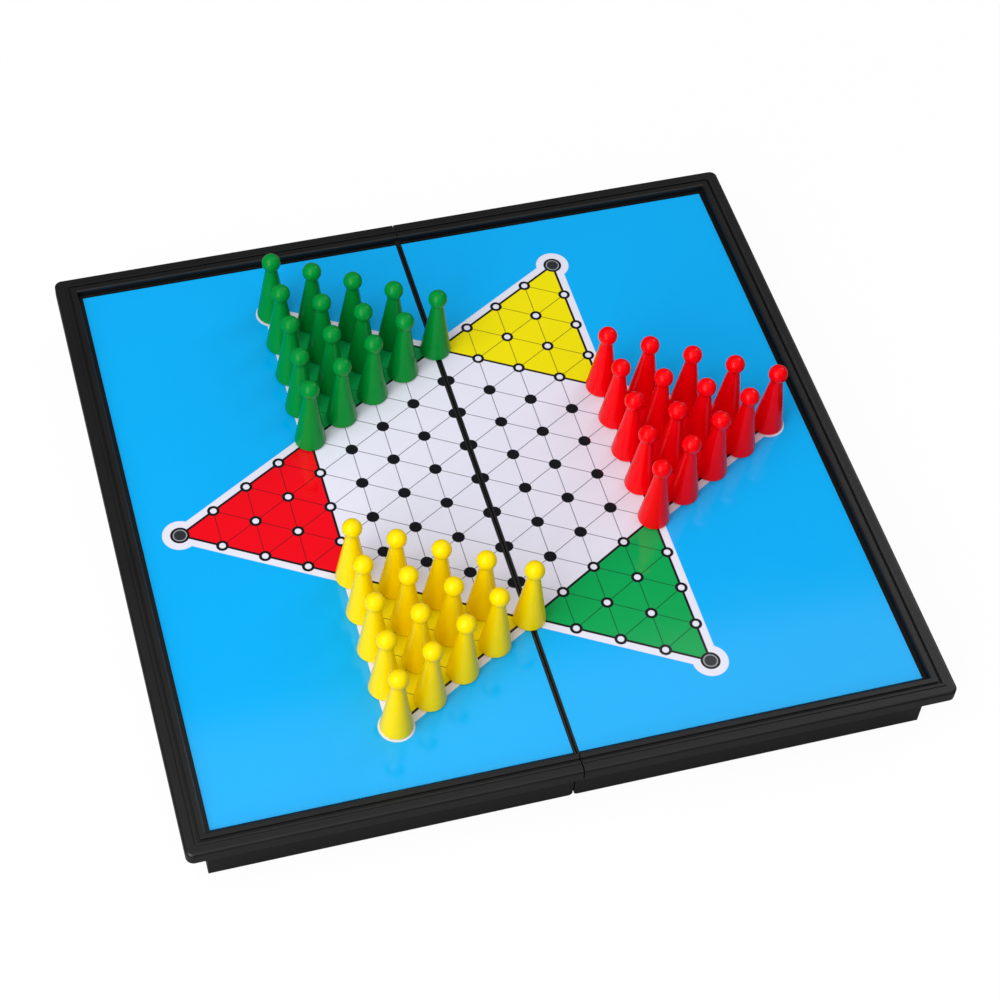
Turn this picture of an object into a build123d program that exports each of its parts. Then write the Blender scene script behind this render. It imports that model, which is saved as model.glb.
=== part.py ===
from build123d import *
from math import cos, radians, sin, sqrt
import os

os.makedirs("parts", exist_ok=True)

# Folding board for a star-shaped halma game with 45 magnetic pawns, in millimetres.
# The board lies open on its skirts. The origin is on the surface it stands on, in the middle of the seam.
# +X runs to the right across both halves, +Y to the back along the seam, +Z up.

# Playing field, and what the printed sheets leave beyond its tips
hole_pitch = 14.8
edge_steps = 4
tip_margin = 12.9
end_margin = 22.5

# Printed sheet and the steel plate under it
sheet_thickness = 0.4
sheet_height = 22.0
plate_thickness = 0.3
seam_clearance = 0.1
rim_clearance = 1.6

# Moulded case half
seam_gap = 0.4
seam_lip = 0.75
seam_wall = 1.6
skirt_wall = 1.8
deck_thickness = 1.8
side_overhang = 7.1
end_overhang = 6.2

# Rim round three sides of each half
side_rim_width = 7.35
end_rim_width = 7.1
rim_rise = 2.4
flange_depth = 4.9
flange_wall = 1.9
neck_wall = 1.2
lip_wall = 1.6
corner_radius = 2.6
outer_edge_radius = 0.9
inner_band_width = 2.15
groove_width = 0.9
groove_depth = 0.8
ridge_width = 1.0
band_step = 0.4
ridge_chamfer = 0.2
inner_edge_radius = 0.6

# Two-pin link hinges
pin_radius = 0.6
pin_height = 1.4
pin_fit = 0.02
link_fit = 0.06
link_end_radius = 1.25
link_width = 6.0
link_side_gap = 0.25
link_sweep_gap = 0.4
ear_thickness = 3.2
ear_wall = 2.8
ear_bridge = 1.6
hinge_spread = 150.0

# Pawn and its magnet
pawn_base_radius = 5.4
pawn_edge_radius = 0.8
pawn_neck_radius = 2.05
pawn_ball_radius = 3.3
pawn_ball_height = 26.6
pawn_seat_gap = 0.05
magnet_radius = 3.6
magnet_thickness = 2.0
magnet_gap = 0.1

# Sizes that follow from the ones above
row_pitch = hole_pitch * sqrt(3) / 2
sheet_width = 2 * edge_steps * row_pitch + tip_margin
sheet_half = 1.5 * edge_steps * hole_pitch + end_margin
seam_face = seam_gap / 2
recess_start = seam_face + seam_lip
sheet_start = recess_start + seam_clearance
sheet_end = sheet_start + sheet_width
recess_end = sheet_end + rim_clearance
recess_half = sheet_half + rim_clearance
outer_side = recess_end + side_rim_width
outer_end = recess_half + end_rim_width
skirt_side = outer_side - side_overhang
skirt_end = outer_end - end_overhang
rim_top = sheet_height + rim_rise
band_top = rim_top - band_step
flange_bottom = rim_top - flange_depth
deck_top = sheet_height - sheet_thickness - plate_thickness
deck_bottom = deck_top - deck_thickness
ridge_inset = inner_band_width + groove_width + ridge_width
pin_x = pin_height + seam_face
notch_reach = pin_x + link_end_radius + link_sweep_gap
notch_top = pin_height + link_end_radius + link_sweep_gap
notch_width = link_width + 2 * link_side_gap
ear_span = notch_width + 2 * ear_thickness
pin_length = ear_span - 2 * pin_fit
hinge_places = {"front": -hinge_spread / 2, "rear": hinge_spread / 2}
tiny = 0.01


def span(start, end, half):
    """Draw a rectangle from x = start to x = end, reaching half to the front and to the back."""
    with Locations(((start + end) / 2, 0)):
        Rectangle(end - start, 2 * half)


def on_recess_edge(edge):
    """Say whether an edge lies on the inner wall of the rim."""
    middle = edge.center()
    at_side = abs(middle.X - recess_end) < tiny
    at_end = abs(abs(middle.Y) - recess_half) < tiny
    return at_side or at_end


# Right half of the case: a tray turned face down, with the rim standing up round its top
with BuildPart() as right_case:
    # Skirt and deck
    with BuildSketch():
        span(seam_face, skirt_side, skirt_end)
    extrude(amount=deck_top)
    # Flange with a rounded outer edge
    with BuildSketch(Plane.XY.offset(flange_bottom)) as flange_outline:
        span(seam_face, outer_side, outer_end)
        fillet(flange_outline.vertices().group_by(Axis.X)[-1], radius=corner_radius)
    extrude(amount=band_top - flange_bottom)
    band_edges = right_case.edges().group_by(Axis.Z)[-1]
    outer_band_edges = [edge for edge in band_edges if edge.center().X > seam_face + tiny]
    fillet(outer_band_edges, radius=min(outer_edge_radius, 0.9 * corner_radius))
    # Raised inner part of the rim
    with BuildSketch(Plane.XY.offset(band_top)):
        span(seam_face, recess_end + ridge_inset, recess_half + ridge_inset)
    extrude(amount=band_step)
    ridge_edges = right_case.edges().group_by(Axis.Z)[-1]
    outer_ridge_edges = [edge for edge in ridge_edges if edge.center().X > seam_face + tiny]
    chamfer(outer_ridge_edges, length=ridge_chamfer)
    # Recess for the plate and the sheet, with the low lip that is left along the seam
    with BuildSketch(Plane.XY.offset(deck_top)):
        span(recess_start, recess_end, recess_half)
    extrude(amount=rim_top - deck_top, mode=Mode.SUBTRACT)
    with BuildSketch(Plane.XY.offset(sheet_height)):
        span(seam_face - tiny, recess_start + tiny, recess_half)
    extrude(amount=rim_rise, mode=Mode.SUBTRACT)
    inner_edges = right_case.edges().group_by(Axis.Z)[-1].filter_by(on_recess_edge)
    fillet(inner_edges, radius=inner_edge_radius)
    # Groove between the ridge and the inner band
    with BuildSketch(Plane.XY.offset(rim_top - groove_depth)):
        groove_outer = inner_band_width + groove_width
        span(seam_face - tiny, recess_end + groove_outer, recess_half + groove_outer)
        with Locations(((seam_face - tiny + recess_end + inner_band_width) / 2, 0)):
            Rectangle(
                recess_end + inner_band_width - seam_face + tiny,
                2 * (recess_half + inner_band_width),
                mode=Mode.SUBTRACT,
            )
    extrude(amount=groove_depth, mode=Mode.SUBTRACT)
    # Hollow under the flange
    with BuildSketch(Plane.XY.offset(flange_bottom)):
        span(seam_face + lip_wall, outer_side - lip_wall, outer_end - lip_wall)
        neck_side = recess_end + neck_wall
        with Locations(((seam_face + neck_side) / 2, 0)):
            Rectangle(neck_side - seam_face, 2 * (recess_half + neck_wall), mode=Mode.SUBTRACT)
    extrude(amount=flange_depth - flange_wall, mode=Mode.SUBTRACT)
    # Tray
    with BuildSketch():
        span(seam_face + seam_wall, skirt_side - skirt_wall, skirt_end - skirt_wall)
    extrude(amount=deck_bottom, mode=Mode.SUBTRACT)
    # Hinge ears, with a notch for each link and a bore for its pin
    for hinge_y in hinge_places.values():
        with BuildSketch(Plane.XZ.offset(-hinge_y)):
            with Locations(((seam_face + pin_x + ear_wall) / 2, (notch_top + ear_bridge) / 2)):
                Rectangle(pin_x + ear_wall - seam_face, notch_top + ear_bridge)
        extrude(amount=ear_span / 2, both=True)
        with BuildSketch(Plane.XZ.offset(-hinge_y)):
            with Locations((notch_reach / 2, notch_top / 2)):
                Rectangle(notch_reach, notch_top)
        extrude(amount=notch_width / 2, both=True, mode=Mode.SUBTRACT)
        with BuildSketch(Plane.XZ.offset(-hinge_y)):
            with Locations((pin_x, pin_height)):
                Circle(pin_radius + pin_fit)
        extrude(amount=ear_span / 2, both=True, mode=Mode.SUBTRACT)
    # Rounded bottom corner at the seam, centred on the pins, so that the halves roll past each other
    with BuildSketch(Plane.XZ):
        with Locations((pin_x / 2, pin_height / 2)):
            Rectangle(pin_x, pin_height)
        with Locations((pin_x, pin_height)):
            Circle(pin_height, mode=Mode.SUBTRACT)
    extrude(amount=outer_end, both=True, mode=Mode.SUBTRACT)

with BuildPart() as left_case:
    mirror(right_case.part, about=Plane.YZ)

# Steel plates, which the magnets pull at, and printed sheets over them
with BuildPart() as right_steel_plate:
    with BuildSketch(Plane.XY.offset(deck_top)):
        span(sheet_start, sheet_end, sheet_half)
    extrude(amount=plate_thickness)

with BuildPart() as right_play_sheet:
    with BuildSketch(Plane.XY.offset(deck_top + plate_thickness)):
        span(sheet_start, sheet_end, sheet_half)
    extrude(amount=sheet_thickness)

with BuildPart() as left_steel_plate:
    mirror(right_steel_plate.part, about=Plane.YZ)

with BuildPart() as left_play_sheet:
    mirror(right_play_sheet.part, about=Plane.YZ)

board_pieces = {
    "left_case": left_case,
    "right_case": right_case,
    "left_steel_plate": left_steel_plate,
    "right_steel_plate": right_steel_plate,
    "left_play_sheet": left_play_sheet,
    "right_play_sheet": right_play_sheet,
}
for name, piece in board_pieces.items():
    piece.part.label = name
    export_step(piece.part, f"parts/{name}.step")

# Hinge links and pins: each link turns on one pin in the left half and one in the right half
for place, hinge_y in hinge_places.items():
    with BuildPart() as hinge_link:
        with BuildSketch(Plane.XZ.offset(-hinge_y)):
            with Locations((0, pin_height)):
                SlotCenterToCenter(2 * pin_x, 2 * link_end_radius)
            with Locations((-pin_x, pin_height), (pin_x, pin_height)):
                Circle(pin_radius + link_fit, mode=Mode.SUBTRACT)
        extrude(amount=link_width / 2, both=True)
    hinge_link.part.label = f"{place}_hinge_link"
    export_step(hinge_link.part, f"parts/{place}_hinge_link.step")

    for side, side_x in (("left", -pin_x), ("right", pin_x)):
        with BuildPart() as hinge_pin:
            with BuildSketch(Plane.XZ.offset(-hinge_y)):
                with Locations((side_x, pin_height)):
                    Circle(pin_radius)
            extrude(amount=pin_length / 2, both=True)
        hinge_pin.part.label = f"{place}_{side}_hinge_pin"
        export_step(hinge_pin.part, f"parts/{place}_{side}_hinge_pin.step")

# Pawn: a cone with a ball on top, and a disc magnet let into the base
neck_height = pawn_ball_height - sqrt(pawn_ball_radius**2 - pawn_neck_radius**2)
edge_turn = pawn_edge_radius * (1 - cos(radians(45)))
with BuildPart() as pawn_shape:
    with BuildSketch(Plane.XZ):
        with BuildLine():
            Line((0, 0), (pawn_base_radius - pawn_edge_radius, 0))
            ThreePointArc(
                (pawn_base_radius - pawn_edge_radius, 0),
                (pawn_base_radius - edge_turn, edge_turn),
                (pawn_base_radius, pawn_edge_radius),
            )
            Line((pawn_base_radius, pawn_edge_radius), (pawn_neck_radius, neck_height))
            ThreePointArc(
                (pawn_neck_radius, neck_height),
                (pawn_ball_radius, pawn_ball_height),
                (0, pawn_ball_height + pawn_ball_radius),
            )
            Line((0, pawn_ball_height + pawn_ball_radius), (0, 0))
        make_face()
    revolve(axis=Axis.Z)
    with BuildSketch(Plane.XY):
        Circle(magnet_radius + magnet_gap)
    extrude(amount=magnet_thickness + 2 * magnet_gap, mode=Mode.SUBTRACT)
    with BuildSketch(Plane.XY.offset(magnet_gap)):
        Circle(magnet_radius)
    extrude(amount=magnet_thickness)

# Fifteen pawns stand on each of three points of the star, given by the direction of its tip
point_directions = {"red": 0, "green": 120, "yellow": 240}


def field_point(outward, sideways, direction):
    """Give the place that lies outward from the star's middle in a direction in degrees, and sideways of it."""
    turn = radians(direction)
    return Vector(outward * cos(turn) - sideways * sin(turn), outward * sin(turn) + sideways * cos(turn))


for colour, direction in point_directions.items():
    number = 0
    for row in range(edge_steps + 1):
        for column in range(edge_steps + 1 - row):
            number += 1
            sideways = hole_pitch * (column - (edge_steps - row) / 2)
            hole = field_point(row_pitch * (edge_steps + row), sideways, direction)
            seam_shift = 0 if abs(hole.X) < tiny else (recess_start if hole.X > 0 else -recess_start)
            place = (hole.X + seam_shift, hole.Y, sheet_height + pawn_seat_gap)
            with BuildPart() as pawn:
                with Locations(place):
                    add(pawn_shape.part)
            name = f"{colour}_pawn_{number:02d}"
            pawn.part.label = name
            export_step(pawn.part, f"parts/{name}.step")
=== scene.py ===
"""A folding star board in black moulded plastic, open, with magnetic pawns on three of its points."""
import logging
import math
import random
from dataclasses import dataclass, field
from enum import Enum
from typing import Callable, Iterable, Optional, Sequence, Union

import bmesh
import bpy
from mathutils import Matrix, Vector


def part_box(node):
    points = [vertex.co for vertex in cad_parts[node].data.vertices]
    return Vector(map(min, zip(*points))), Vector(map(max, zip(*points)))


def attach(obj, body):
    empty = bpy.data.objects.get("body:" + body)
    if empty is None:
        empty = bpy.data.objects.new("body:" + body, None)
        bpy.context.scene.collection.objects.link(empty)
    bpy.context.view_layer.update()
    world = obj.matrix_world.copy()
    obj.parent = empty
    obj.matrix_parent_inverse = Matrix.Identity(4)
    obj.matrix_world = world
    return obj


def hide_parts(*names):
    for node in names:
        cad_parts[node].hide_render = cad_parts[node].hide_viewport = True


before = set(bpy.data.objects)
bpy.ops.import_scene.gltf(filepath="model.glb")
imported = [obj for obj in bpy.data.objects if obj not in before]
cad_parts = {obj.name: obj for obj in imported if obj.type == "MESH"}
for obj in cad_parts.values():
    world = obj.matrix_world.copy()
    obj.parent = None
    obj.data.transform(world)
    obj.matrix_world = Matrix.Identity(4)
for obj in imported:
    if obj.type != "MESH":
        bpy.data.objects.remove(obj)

MM = 0.001
ROOT3 = math.sqrt(3)
SEED = 7
LOG = logging.getLogger("star_board")

Colour = tuple[float, float, float]
Number = Union[float, "Signal"]
Paint = Union[Colour, "bpy.types.NodeSocket"]
Feed = Union[float, Colour, "Signal", "bpy.types.NodeSocket"]
Outline = list[tuple[float, float]]


def linear(red: int, green: int, blue: int) -> Colour:
    """Turn a colour of 0 to 255 a channel, as a screen shows it, into the renderer's linear values.

    Args:
        red: Red as shown on a screen.
        green: Green as shown on a screen.
        blue: Blue as shown on a screen.

    Returns:
        The three linear channels, from 0 to 1.
    """

    def one(channel: int) -> float:
        """Turn one channel."""
        share = channel / 255
        return share / 12.92 if share <= 0.04045 else ((share + 0.055) / 1.055) ** 2.4

    return one(red), one(green), one(blue)


class Ink(Enum):
    """The colours that the sheets are printed in."""

    BLUE = linear(0, 172, 244)
    WHITE = linear(226, 226, 242)
    BLACK = linear(14, 15, 22)
    CHARCOAL = linear(42, 46, 50)
    GREY = linear(150, 155, 160)
    RED = linear(236, 0, 22)
    YELLOW = linear(238, 224, 0)
    GREEN = linear(0, 160, 80)


class PawnColour(Enum):
    """The colours that the pawns are moulded in."""

    RED = ("red", linear(246, 0, 12))
    YELLOW = ("yellow", linear(255, 222, 0))
    GREEN = ("green", linear(0, 140, 52))

    @property
    def word(self) -> str:
        """The colour's plain name, as it begins the pawns' names."""
        return self.value[0]

    @property
    def paint(self) -> Colour:
        """The colour in linear values."""
        return self.value[1]


class Signal:
    """A number on its way through a shader, which ordinary arithmetic can be written on."""

    def __init__(self, shader: "Shader", socket: bpy.types.NodeSocket) -> None:
        """Wrap a socket.

        Args:
            shader: The shader that the socket belongs to.
            socket: The output that carries the number.
        """
        self.shader = shader
        self.socket = socket

    def __add__(self, other: Number) -> "Signal":
        """Add."""
        return self.shader.maths("ADD", self, other)

    def __radd__(self, other: Number) -> "Signal":
        """Add to a plain number."""
        return self.shader.maths("ADD", other, self)

    def __sub__(self, other: Number) -> "Signal":
        """Subtract."""
        return self.shader.maths("SUBTRACT", self, other)

    def __rsub__(self, other: Number) -> "Signal":
        """Subtract from a plain number."""
        return self.shader.maths("SUBTRACT", other, self)

    def __mul__(self, other: Number) -> "Signal":
        """Multiply."""
        return self.shader.maths("MULTIPLY", self, other)

    def __rmul__(self, other: Number) -> "Signal":
        """Multiply a plain number."""
        return self.shader.maths("MULTIPLY", other, self)

    def __abs__(self) -> "Signal":
        """Drop the sign."""
        return self.shader.maths("ABSOLUTE", self)

    def least(self, other: Number) -> "Signal":
        """Give the lesser of two numbers."""
        return self.shader.maths("MINIMUM", self, other)

    def most(self, other: Number) -> "Signal":
        """Give the greater of two numbers."""
        return self.shader.maths("MAXIMUM", self, other)

    def wrap(self, period: float) -> "Signal":
        """Give the distance past the nearest whole number of periods, from minus to plus half of one."""
        return self.shader.maths("WRAP", self, period / 2, -period / 2)

    def length(self, other: "Signal") -> "Signal":
        """Give the length of a step of this much along one axis and of the other along the next."""
        return self.shader.maths("SQRT", self * self + other * other)

    def below(self, edge: float, soft: float) -> "Signal":
        """Give 1 where the number is below an edge and 0 above it.

        Args:
            edge: The number at which the answer changes.
            soft: How wide the change is.

        Returns:
            The mask, from 0 to 1.
        """
        return self.shader.maths("MULTIPLY_ADD", self, -1 / soft, edge / soft + 0.5, clamp=True)


class Shader:
    """One procedural material, with short ways to add its nodes."""

    def __init__(self, name: str) -> None:
        """Start a material with a Principled surface.

        Args:
            name: The material's name.
        """
        self.material = bpy.data.materials.new(name)
        self.material.use_nodes = True
        self.tree = self.material.node_tree
        self.surface = self.tree.nodes["Principled BSDF"]

    def node(self, kind: str, settings: Optional[dict] = None, **values: Feed) -> bpy.types.Node:
        """Add a node.

        Args:
            kind: The node's type.
            settings: Its own settings, which are set before its sockets.
            **values: A value or a link for each named socket, with _ for a space.

        Returns:
            The new node.
        """
        made = self.tree.nodes.new(kind)
        for key, value in (settings or {}).items():
            setattr(made, key, value)
        for key, value in values.items():
            self.feed(made.inputs[key.replace("_", " ")], value)
        return made

    def feed(self, socket: bpy.types.NodeSocket, value: Feed) -> None:
        """Link or set one input.

        Args:
            socket: The input.
            value: A signal, an output, a colour or a plain number.
        """
        if isinstance(value, Signal):
            value = value.socket
        if isinstance(value, bpy.types.NodeSocket):
            self.tree.links.new(value, socket)
        elif isinstance(value, (tuple, list)) and len(value) == 3 and socket.type == "RGBA":
            socket.default_value = (*value, 1)
        else:
            socket.default_value = value

    def maths(self, operation: str, *terms: Number, clamp: bool = False) -> Signal:
        """Add a Math node.

        Args:
            operation: What it works out.
            *terms: Its numbers, in order.
            clamp: Whether the answer is kept from 0 to 1.

        Returns:
            The answer.
        """
        made = self.node("ShaderNodeMath", {"operation": operation, "use_clamp": clamp})
        for socket, term in zip(made.inputs, terms):
            self.feed(socket, term)
        return Signal(self, made.outputs[0])

    def blend(self, mask: Number, below: Paint, above: Paint) -> bpy.types.NodeSocket:
        """Mix two colours.

        Args:
            mask: How much of the second colour shows.
            below: The first colour.
            above: The second colour.

        Returns:
            The mixed colour's output.
        """
        made = self.node("ShaderNodeMix", {"data_type": "RGBA"})
        self.feed(made.inputs[0], mask)
        self.feed(made.inputs[6], below)
        self.feed(made.inputs[7], above)
        return made.outputs[2]

    def place(self) -> tuple[Signal, Signal, Signal]:
        """Give the place on the piece, in metres, which moves with the piece.

        Returns:
            The place along each of the three axes.
        """
        where = self.node("ShaderNodeTexCoord").outputs["Object"]
        apart = self.node("ShaderNodeSeparateXYZ", Vector=where)
        return tuple(Signal(self, out) for out in apart.outputs)

    def noise(self, size: float, detail: float = 2.0) -> Signal:
        """Give a noise from about 0 to 1 whose patches are about a size across.

        Args:
            size: The patches' size, in metres.
            detail: How many finer layers it has.

        Returns:
            The noise.
        """
        where = self.node("ShaderNodeTexCoord").outputs["Object"]
        made = self.node("ShaderNodeTexNoise", Vector=where, Scale=1 / size, Detail=detail)
        return Signal(self, made.outputs[0])

    @staticmethod
    def uneven(noise: Signal, middle: float, spread: float) -> Signal:
        """Turn a noise into a value that varies about a middle.

        Args:
            noise: The noise, from about 0 to 1.
            middle: The value in the middle.
            spread: How far apart the lowest and the highest values are.

        Returns:
            The value.
        """
        return noise * spread + (middle - spread / 2)

    def bump(self, height: Signal, strength: float, depth: float, edge_round: float = 0.0) -> None:
        """Raise the surface a little by a height.

        Args:
            height: The height, from 0 to 1.
            strength: How strongly it shows.
            depth: How high 1 is, in metres.
            edge_round: How far the edges are rounded in the shading, in metres.
        """
        made = self.node("ShaderNodeBump", Height=height, Strength=strength, Distance=depth)
        if edge_round:
            rounded = self.node("ShaderNodeBevel", {"samples": 6}, Radius=edge_round)
            self.feed(made.inputs["Normal"], rounded.outputs[0])
        self.feed(self.surface.inputs["Normal"], made.outputs[0])

    def dress(self, **values: Feed) -> bpy.types.Material:
        """Set the surface's inputs and give the finished material.

        Args:
            **values: A value or a link for each named input, with _ for a space.

        Returns:
            The material.
        """
        for key, value in values.items():
            self.feed(self.surface.inputs[key.replace("_", " ")], value)
        return self.material


@dataclass(frozen=True)
class CasePlastic:
    """Black moulded plastic with a satin grain and soft edges."""

    shade: Colour = linear(11, 11, 12)
    worn: Colour = linear(18, 18, 19)
    roughness: float = 0.34
    spread: float = 0.14
    shine: float = 0.4
    grain: float = 0.35 * MM
    clouds: float = 30 * MM
    edge_round: float = 0.35 * MM

    def make(self) -> bpy.types.Material:
        """Make the material.

        Returns:
            The finished material.
        """
        shader = Shader("case_plastic_satin")
        clouds = shader.noise(self.clouds, 3.0)
        grain = shader.noise(self.grain, 2.0)
        shader.bump(grain, 0.12, 0.03 * MM, self.edge_round)
        return shader.dress(
            Base_Color=shader.blend(clouds, self.shade, self.worn),
            Roughness=shader.uneven(clouds, self.roughness, self.spread),
            IOR=1.5,
            Specular_IOR_Level=self.shine,
        )


@dataclass(frozen=True)
class PlainSteel:
    """Thin rolled steel, or a turned pin."""

    name: str
    shade: Colour = linear(190, 192, 196)
    marked: Colour = linear(168, 170, 176)
    roughness: float = 0.3
    spread: float = 0.2
    marks: float = 1.5 * MM

    def make(self) -> bpy.types.Material:
        """Make the material.

        Returns:
            The finished material.
        """
        shader = Shader(self.name)
        marks = shader.noise(self.marks, 4.0)
        return shader.dress(
            Base_Color=shader.blend(marks, self.shade, self.marked),
            Metallic=1.0,
            Roughness=shader.uneven(marks, self.roughness, self.spread),
        )


@dataclass(frozen=True)
class MagnetFerrite:
    """Dark sintered magnet."""

    shade: Colour = linear(58, 58, 62)
    speck: Colour = linear(84, 84, 90)
    roughness: float = 0.52
    spread: float = 0.2
    grit: float = 0.25 * MM

    def make(self) -> bpy.types.Material:
        """Make the material.

        Returns:
            The finished material.
        """
        shader = Shader("magnet_ferrite")
        grit = shader.noise(self.grit, 3.0)
        shader.bump(grit, 0.2, 0.03 * MM)
        return shader.dress(
            Base_Color=shader.blend(grit, self.shade, self.speck),
            Metallic=0.45,
            Roughness=shader.uneven(grit, self.roughness, self.spread),
        )


@dataclass(frozen=True)
class PawnPlastic:
    """Glossy solid-coloured plastic."""

    colour: PawnColour
    roughness: float = 0.22
    spread: float = 0.08
    shine: float = 0.12
    clouds: float = 6 * MM
    ripples: float = 2.5 * MM
    darkening: float = 0.94

    def make(self) -> bpy.types.Material:
        """Make the material.

        Returns:
            The finished material.
        """
        shader = Shader(f"{self.colour.word}_pawn_plastic_gloss")
        clouds = shader.noise(self.clouds, 2.0)
        ripples = shader.noise(self.ripples, 1.0)
        shader.bump(ripples, 0.04, 0.03 * MM)
        darker = tuple(channel * self.darkening for channel in self.colour.paint)
        return shader.dress(
            Base_Color=shader.blend(clouds, self.colour.paint, darker),
            Roughness=shader.uneven(clouds, self.roughness, self.spread),
            Specular_IOR_Level=self.shine,
        )


class StarLayout:
    """How far each point of a sheet is from the parts of the star, in spacings of its holes."""

    def __init__(self, shader: Shader, centre_x: float, pitch: float, steps: int) -> None:
        """Lay the star over a sheet.

        Args:
            shader: The sheet's shader.
            centre_x: How far to the right the star's middle is, in metres.
            pitch: The spacing of the holes, in metres.
            steps: How many spacings long one side of the hexagon is.
        """
        across, along, _ = shader.place()
        u = (across - centre_x) * (1 / pitch)
        v = along * (1 / pitch)
        row = ROOT3 / 2
        self.row = row
        self.edge = steps * row
        # The three directions that the rows of holes are counted in, and the way along each row
        axes = [u, u * 0.5 + v * row, v * row - u * 0.5]
        sides = [v, v * 0.5 - u * row, u * -row - v * 0.5]
        # The two large triangles, whose union is the star and whose overlap is its hexagon
        self.past_first = axes[1].most(axes[0] * -1).most(axes[2] * -1) - self.edge
        self.past_second = axes[0].most(axes[2]).most(axes[1] * -1) - self.edge
        self.past_star = self.past_first.least(self.past_second)
        self.reach = [abs(axis) for axis in axes]
        self.hexagon = self.reach[0].most(self.reach[1]).most(self.reach[2])
        # The holes lie on two rectangular grids, each in the middle of the other's cells
        even = u.wrap(ROOT3).length(v.wrap(1.0))
        odd = (u - row).wrap(ROOT3).length((v - 0.5).wrap(1.0))
        self.to_hole = even.least(odd)
        tips = [(far - 2 * self.edge).length(side) for far, side in zip(self.reach, sides)]
        self.to_tip = tips[0].least(tips[1]).least(tips[2])
        lines = [abs(axis.wrap(row)) for axis in axes]
        self.to_line = lines[0].least(lines[1]).least(lines[2])


@dataclass(frozen=True)
class StarPrint:
    """The printed star, in spacings of its holes, on one glossy sheet."""

    name: str
    centre_x: float
    pitch: float
    steps: int = 4
    soft: float = 0.012
    outline: float = 0.057
    thin_line: float = 0.018
    line_strength: float = 0.85
    dot: float = 0.29
    ring: float = 0.285
    ring_inside: float = 0.15
    hole_reach: float = 0.43
    tip_disc: float = 0.44
    tip_ring: float = 0.3
    tip_ring_line: float = 0.025
    tip_halo: float = 0.8
    border: float = 0.2
    roughness: float = 0.09
    spread: float = 0.04
    waves: float = 14 * MM

    def make(self) -> bpy.types.Material:
        """Make the material.

        Returns:
            The finished material.
        """
        shader = Shader(self.name)
        layout = StarLayout(shader, self.centre_x, self.pitch, self.steps)
        colour = self.print_ground(shader, layout)
        colour = self.print_lines(shader, layout, colour)
        colour = self.print_holes(shader, layout, colour)
        colour = self.print_tips(shader, layout, colour)
        waves = shader.noise(self.waves, 1.0)
        shader.bump(waves, 0.08, 0.12 * MM)
        return shader.dress(
            Base_Color=colour,
            Roughness=shader.uneven(waves, self.roughness, self.spread),
            IOR=1.45,
        )

    def inside(self, value: Signal, width: float) -> Signal:
        """Give a mask of what lies within half a width."""
        return value.below(width / 2, self.soft)

    def print_ground(self, shader: Shader, layout: StarLayout) -> Paint:
        """Print the coloured points and the white hexagon, with a white border, on blue.

        Args:
            shader: The sheet's shader.
            layout: Where the star's parts are.

        Returns:
            The colour of the ground.
        """
        points = shader.blend(layout.reach[1].below(layout.edge, self.soft), Ink.YELLOW.value, Ink.RED.value)
        points = shader.blend(layout.reach[2].below(layout.edge, self.soft), Ink.GREEN.value, points)
        fill = shader.blend(layout.hexagon.below(layout.edge, self.soft), points, Ink.WHITE.value)
        border = layout.past_star.below(self.border, self.soft)
        border = border.most(self.inside(layout.to_tip, self.tip_halo))
        ground = shader.blend(border, Ink.BLUE.value, Ink.WHITE.value)
        return shader.blend(layout.past_star.below(0, self.soft), ground, fill)

    def print_lines(self, shader: Shader, layout: StarLayout, colour: Paint) -> Paint:
        """Print the thin lines between the holes and the heavy ones round both triangles.

        Args:
            shader: The sheet's shader.
            layout: Where the star's parts are.
            colour: What is printed so far.

        Returns:
            The colour with this layer on top.
        """
        on_star = layout.past_star.below(0, self.soft)
        thin = on_star * self.inside(layout.to_line, self.thin_line) * self.line_strength
        colour = shader.blend(thin, colour, Ink.BLACK.value)
        heavy = self.inside(abs(layout.past_first), self.outline)
        heavy = heavy.most(self.inside(abs(layout.past_second), self.outline))
        return shader.blend(heavy, colour, Ink.BLACK.value)

    def print_holes(self, shader: Shader, layout: StarLayout, colour: Paint) -> Paint:
        """Print a dot at each hole within the hexagon, and a ring at each of the others.

        Args:
            shader: The sheet's shader.
            layout: Where the star's parts are.
            colour: What is printed so far.

        Returns:
            The colour with this layer on top.
        """
        near_star = layout.past_star.below(self.hole_reach, self.soft)
        inner = layout.hexagon.below(layout.edge - layout.row / 2, self.soft)
        colour = shader.blend(near_star * self.inside(layout.to_hole, self.ring), colour, Ink.BLACK.value)
        open_hole = near_star * (1 - inner) * self.inside(layout.to_hole, self.ring_inside)
        colour = shader.blend(open_hole, colour, Ink.WHITE.value)
        return shader.blend(inner * self.inside(layout.to_hole, self.dot), colour, Ink.BLACK.value)

    def print_tips(self, shader: Shader, layout: StarLayout, colour: Paint) -> Paint:
        """Print the large disc with a thin grey ring at each of the six tips.

        Args:
            shader: The sheet's shader.
            layout: Where the star's parts are.
            colour: What is printed so far.

        Returns:
            The colour with this layer on top.
        """
        colour = shader.blend(self.inside(layout.to_tip, self.tip_disc), colour, Ink.BLACK.value)
        colour = shader.blend(self.inside(layout.to_tip, self.tip_ring), colour, Ink.CHARCOAL.value)
        ring = self.inside(abs(layout.to_tip - self.tip_ring / 2), self.tip_ring_line)
        return shader.blend(ring, colour, Ink.GREY.value)


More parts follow.
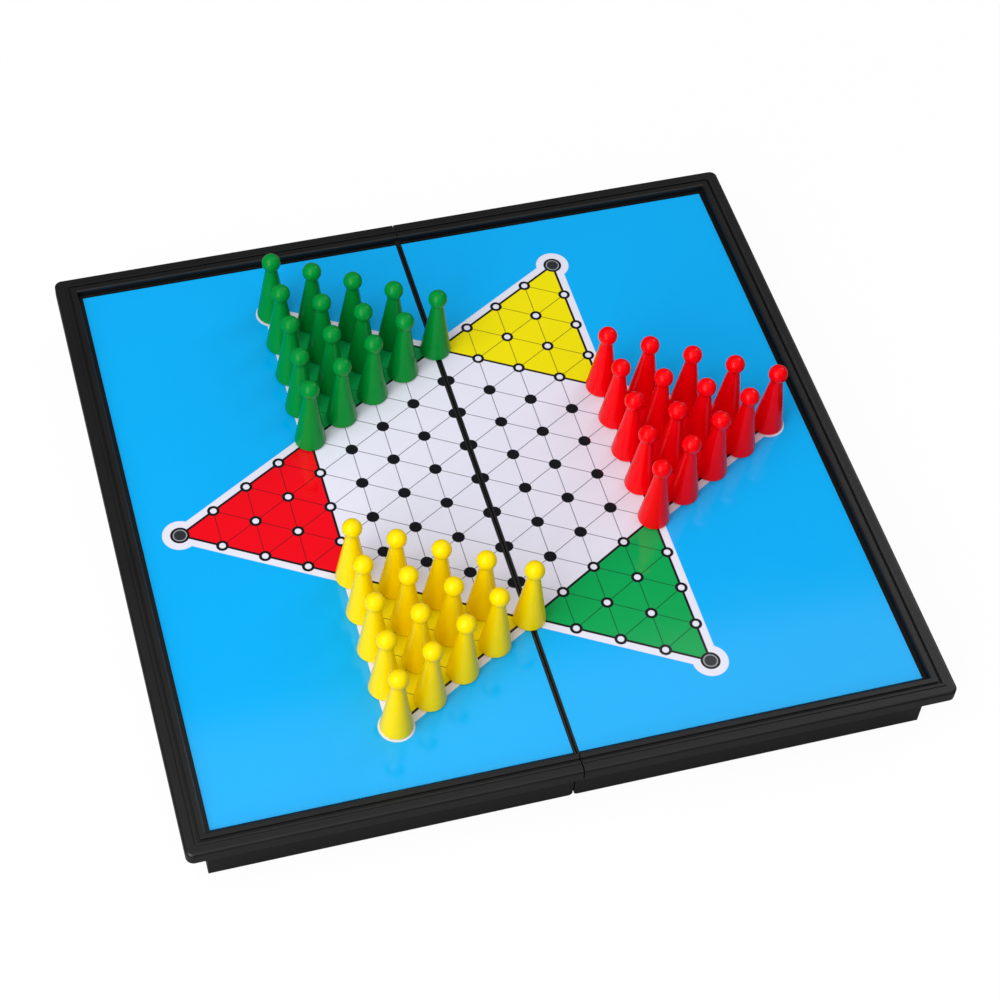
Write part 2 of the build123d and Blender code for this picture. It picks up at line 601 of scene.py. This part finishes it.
def build_mesh(name: str, shape: bmesh.types.BMesh, material: bpy.types.Material) -> bpy.types.Object:
    """Turn a worked shape into an object with smooth faces and crisp corners.

    Args:
        name: The new object's name.
        shape: The shape, which is freed.
        material: Its material.

    Returns:
        The new object.
    """
    crisp = math.radians(38)
    shape.normal_update()
    for face in shape.faces:
        face.smooth = True
    for edge in shape.edges:
        edge.smooth = len(edge.link_faces) == 2 and edge.calc_face_angle(0.0) < crisp
    mesh = bpy.data.meshes.new(name)
    shape.to_mesh(mesh)
    shape.free()
    mesh.materials.append(material)
    made = bpy.data.objects.new(name, mesh)
    bpy.context.scene.collection.objects.link(made)
    return made


def lathe(
    outline: Sequence[tuple[float, float]],
    turns: int,
    bulge: Callable[[float, float], float],
) -> bmesh.types.BMesh:
    """Turn an outline about the Z axis.

    Args:
        outline: Radius and height of each point, from one end on the axis to the other.
        turns: How many sides it has.
        bulge: Gives how far out the surface stands at an angle and a height.

    Returns:
        The turned shape.
    """
    shape = bmesh.new()
    rings = []
    for radius, height in outline:
        if radius == 0:
            rings.append([shape.verts.new((0, 0, height))])
            continue
        ring = []
        for turn in range(turns):
            angle = 2 * math.pi * turn / turns
            out = radius + bulge(angle, height)
            ring.append(shape.verts.new((out * math.cos(angle), out * math.sin(angle), height)))
        rings.append(ring)
    for lower, upper in zip(rings, rings[1:]):
        for turn in range(turns):
            corners = []
            for ring, step in ((lower, turn), (lower, turn + 1), (upper, turn + 1), (upper, turn)):
                corner = ring[step % len(ring)]
                if corner not in corners:
                    corners.append(corner)
            shape.faces.new(corners)
    bmesh.ops.recalc_face_normals(shape, faces=shape.faces)
    return shape


def arc(centre: tuple[float, float], radius: float, start: float, end: float, steps: int) -> Outline:
    """Give points along an arc of an outline.

    Args:
        centre: Radius and height of the arc's centre.
        radius: The arc's own radius.
        start: Its first direction, in degrees, counted from straight out towards up.
        end: Its last direction.
        steps: How many steps it has.

    Returns:
        Radius and height of each point, both ends included.
    """
    found = []
    for step in range(steps + 1):
        angle = math.radians(start + (end - start) * step / steps)
        found.append((centre[0] + radius * math.cos(angle), centre[1] + radius * math.sin(angle)))
    return found


@dataclass
class Pawn:
    """A cone with a ball on top and a disc magnet in its base, in metres."""

    base_radius: float = 5.4 * MM
    edge_radius: float = 0.8 * MM
    neck_radius: float = 2.05 * MM
    neck_blend: float = 0.7 * MM
    ball_radius: float = 3.3 * MM
    ball_height: float = 26.6 * MM
    magnet_radius: float = 3.6 * MM
    magnet_thickness: float = 2.0 * MM
    magnet_gap: float = 0.1 * MM
    magnet_edge: float = 0.2 * MM
    recess_lip: float = 0.15 * MM
    neck_flare: float = 0.03 * MM
    ball_start: float = 3.0
    flash: float = 0.01 * MM
    flash_reach: float = 0.06
    edge_steps: int = 6
    cone_steps: int = 8
    ball_steps: int = 18
    turns: int = 48
    magnet_turns: int = 32

    def outline(self) -> Outline:
        """Work out the pawn's outline, from the roof of the magnet's recess to the top of the ball.

        Returns:
            Radius and height of each point.
        """
        recess = self.magnet_radius + self.magnet_gap
        depth = self.magnet_thickness + 2 * self.magnet_gap
        neck = self.ball_height - math.sqrt(self.ball_radius**2 - self.neck_radius**2)
        slope = math.atan2(neck - self.edge_radius, self.base_radius - self.neck_radius)
        lean = math.degrees(math.pi / 2 - slope)
        found = [(0.0, depth), (recess, depth), (recess, self.recess_lip), (recess + self.recess_lip, 0.0)]
        rounded = (self.base_radius - self.edge_radius, self.edge_radius)
        found += arc(rounded, self.edge_radius, -90, lean, self.edge_steps)
        foot_radius, foot = found[-1]
        top = neck - self.neck_blend
        top_radius = self.neck_radius + self.neck_flare
        for step in range(1, self.cone_steps + 1):
            share = step / self.cone_steps
            found.append((foot_radius + (top_radius - foot_radius) * share, foot + (top - foot) * share))
        # One point in the corner between the cone and the ball softens it
        found.append((self.neck_radius + self.neck_flare * 2 / 3, neck - self.neck_blend / 4))
        start = math.degrees(math.asin((neck - self.ball_height) / self.ball_radius)) + self.ball_start
        ball = arc((0.0, self.ball_height), self.ball_radius, start, 90, self.ball_steps)
        return found + ball[:-1] + [(0.0, self.ball_height + self.ball_radius)]

    def parting_line(self, angle: float, height: float) -> float:
        """Give how far out the mould's parting line stands, at two opposite sides."""
        off = abs(math.sin(angle))
        return self.flash if off < self.flash_reach and height > self.edge_radius else 0.0

    def build(self, name: str, finish: bpy.types.Material, magnet: bpy.types.Material, turn: float) -> None:
        """Build one pawn and its magnet over the node of that name.

        Args:
            name: The pawn's node and body.
            finish: The pawn's material.
            magnet: The magnet's material.
            turn: How far the pawn is turned, in radians.
        """
        low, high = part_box(name)
        foot = Vector(((low.x + high.x) / 2, (low.y + high.y) / 2, low.z))
        stand = Matrix.Translation(foot) @ Matrix.Rotation(turn, 4, "Z")
        shape = lathe(self.outline(), self.turns, self.parting_line)
        shape.transform(stand)
        piece = build_mesh(f"{name}_body", shape, finish)
        disc = lathe(self.magnet_outline(), self.magnet_turns, lambda angle, height: 0.0)
        disc.transform(stand)
        plug = build_mesh(f"{name}_magnet", disc, magnet)
        for made in (piece, plug):
            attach(made, name)
            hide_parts(name)

    def magnet_outline(self) -> Outline:
        """Work out the magnet's outline, with its edges broken.

        Returns:
            Radius and height of each point.
        """
        low = self.magnet_gap
        high = low + self.magnet_thickness
        return [
            (0.0, low),
            (self.magnet_radius - self.magnet_edge, low),
            (self.magnet_radius, low + self.magnet_edge),
            (self.magnet_radius, high - self.magnet_edge),
            (self.magnet_radius - self.magnet_edge, high),
            (0.0, high),
        ]


@dataclass
class PawnSet:
    """The fifteen pawns of one colour."""

    colour: PawnColour
    pawn: Pawn = field(default_factory=Pawn)

    def build(self, magnet: bpy.types.Material, luck: random.Random) -> None:
        """Build the set.

        Args:
            magnet: The magnets' material.
            luck: Gives how far each pawn is turned.
        """
        finish = PawnPlastic(self.colour).make()
        names = sorted(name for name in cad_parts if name.startswith(f"{self.colour.word}_pawn_"))
        for name in names:
            self.pawn.build(name, finish, magnet, luck.uniform(0, 2 * math.pi))
            LOG.info("built %s", name)


@dataclass
class Board:
    """The two case halves, their sheets and plates, and the hinges.

    The seam strip is how far each half of the print is moved off the seam.
    """

    pitch: float = 14.8 * MM
    seam_strip: float = 0.95 * MM

    def dress(self) -> None:
        """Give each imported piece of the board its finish."""
        plastic = CasePlastic().make()
        plate = PlainSteel("plate_steel_rolled").make()
        pin = PlainSteel("pin_steel_turned", roughness=0.22).make()
        finishes = {"case": plastic, "plate": plate, "link": plate, "pin": pin}
        for name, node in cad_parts.items():
            kind = name.split("_")[-1]
            if kind == "sheet":
                side = 1 if name.startswith("right") else -1
                star = StarPrint(f"{name}_print", side * self.seam_strip, self.pitch)
                self.coat(node, star.make())
            elif kind in finishes:
                self.coat(node, finishes[kind])

    @staticmethod
    def coat(node: bpy.types.Object, finish: bpy.types.Material) -> None:
        """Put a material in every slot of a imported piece.

        Args:
            node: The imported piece.
            finish: Its material.
        """
        if not node.material_slots:
            node.data.materials.append(finish)
        for slot in node.material_slots:
            slot.material = finish
        LOG.info("dressed %s in %s", node.name, finish.name)


@dataclass(frozen=True)
class Lamp:
    """A soft light panel that looks at the middle of the board."""

    name: str
    place: tuple[float, float, float]
    size: float
    power: float

    def build(self) -> None:
        """Build the lamp."""
        data = bpy.data.lights.new(self.name, "AREA")
        data.shape = "SQUARE"
        data.size = self.size
        data.energy = self.power
        made = bpy.data.objects.new(self.name, data)
        made.location = self.place
        made.rotation_euler = (-Vector(self.place)).to_track_quat("-Z", "Y").to_euler()
        bpy.context.scene.collection.objects.link(made)


LAMPS = (
    Lamp("ceiling_panel", (0.0, -0.22, 1.2), 2.0, 9.5),
    Lamp("left_panel", (-0.75, -0.35, 1.05), 0.8, 7.2),
    Lamp("low_left_panel", (-0.8, -0.8, 0.46), 0.8, 8.4),
    Lamp("right_panel", (0.9, 0.5, 0.8), 0.5, 2.5),
)


@dataclass
class Studio:
    """The camera, the lamps, the world and the floor.

    The camera's values were fitted to the photo, with the azimuth, elevation and roll in degrees. The
    floor shows the camera mostly its own glow, so that it looks white but still takes a soft shadow.
    """

    camera_place: tuple[float, float, float] = (-0.1658, -0.4713, 0.6615)
    azimuth: float = 17.54
    elevation: float = 52.6
    roll: float = 3.27
    lens: float = 86.05
    lens_shift: float = 0.0684
    world_strength: float = 0.16
    floor_size: float = 6.0
    floor_shade: float = 0.25
    floor_glow: float = 1.16
    glow_share: float = 0.82

    def build(self) -> None:
        """Build the studio."""
        self.aim_camera()
        self.light_world()
        self.lay_floor()
        for lamp in LAMPS:
            lamp.build()
        bpy.context.scene.view_settings.view_transform = "Standard"

    def aim_camera(self) -> None:
        """Stand the camera where the photo was taken from."""
        turn, dip, tilt = (math.radians(x) for x in (self.azimuth, self.elevation, self.roll))
        forward = Vector((math.sin(turn) * math.cos(dip), math.cos(turn) * math.cos(dip), -math.sin(dip)))
        level = Vector((math.cos(turn), -math.sin(turn), 0))
        rise = level.cross(forward)
        right = level * math.cos(tilt) + rise * math.sin(tilt)
        up = rise * math.cos(tilt) - level * math.sin(tilt)
        data = bpy.data.cameras.new("photo_camera")
        data.sensor_width = 36
        data.lens = self.lens
        data.shift_x = self.lens_shift
        data.clip_start = 0.01
        camera = bpy.data.objects.new("photo_camera", data)
        rows = Matrix((right, up, -forward)).transposed().to_4x4()
        camera.matrix_world = Matrix.Translation(self.camera_place) @ rows
        bpy.context.scene.collection.objects.link(camera)
        bpy.context.scene.camera = camera

    def light_world(self) -> None:
        """Light the object from all round, and show plain white behind it."""
        world = bpy.data.worlds.new("soft_room")
        bpy.context.scene.world = world
        world.use_nodes = True
        tree = world.node_tree
        light = tree.nodes["Background"]
        light.inputs["Color"].default_value = (1, 1, 1, 1)
        light.inputs["Strength"].default_value = self.world_strength
        white = tree.nodes.new("ShaderNodeBackground")
        white.inputs["Color"].default_value = (1, 1, 1, 1)
        path = tree.nodes.new("ShaderNodeLightPath")
        mix = tree.nodes.new("ShaderNodeMixShader")
        tree.links.new(path.outputs["Is Camera Ray"], mix.inputs[0])
        tree.links.new(light.outputs[0], mix.inputs[1])
        tree.links.new(white.outputs[0], mix.inputs[2])
        tree.links.new(mix.outputs[0], tree.nodes["World Output"].inputs[0])

    def lay_floor(self) -> None:
        """Lay a white floor that keeps a soft shadow."""
        half = self.floor_size / 2
        shape = bmesh.new()
        corners = [shape.verts.new((x * half, y * half, 0)) for x, y in ((-1, -1), (1, -1), (1, 1), (-1, 1))]
        shape.faces.new(corners)
        shader = Shader("floor_white")
        tree = shader.tree
        shader.dress(Base_Color=(self.floor_shade,) * 3, Roughness=0.9)
        glow = shader.node("ShaderNodeEmission", Strength=self.floor_glow, Color=(1.0, 1.0, 1.0))
        path = shader.node("ShaderNodeLightPath")
        seen = Signal(shader, path.outputs["Is Camera Ray"])
        mix = shader.node("ShaderNodeMixShader")
        shader.feed(mix.inputs[0], seen * self.glow_share)
        tree.links.new(shader.surface.outputs[0], mix.inputs[1])
        tree.links.new(glow.outputs[0], mix.inputs[2])
        tree.links.new(mix.outputs[0], tree.nodes["Material Output"].inputs["Surface"])
        floor = build_mesh("floor", shape, shader.material)


def main() -> None:
    """Build the studio, dress the board and stand the pawns on it."""
    logging.basicConfig(level=logging.INFO, format="%(name)s: %(message)s")
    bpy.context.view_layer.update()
    Studio().build()
    Board().dress()
    magnet = MagnetFerrite().make()
    luck = random.Random(SEED)
    for colour in PawnColour:
        PawnSet(colour).build(magnet, luck)
    bpy.context.view_layer.update()


if __name__ == "__main__":
    main()
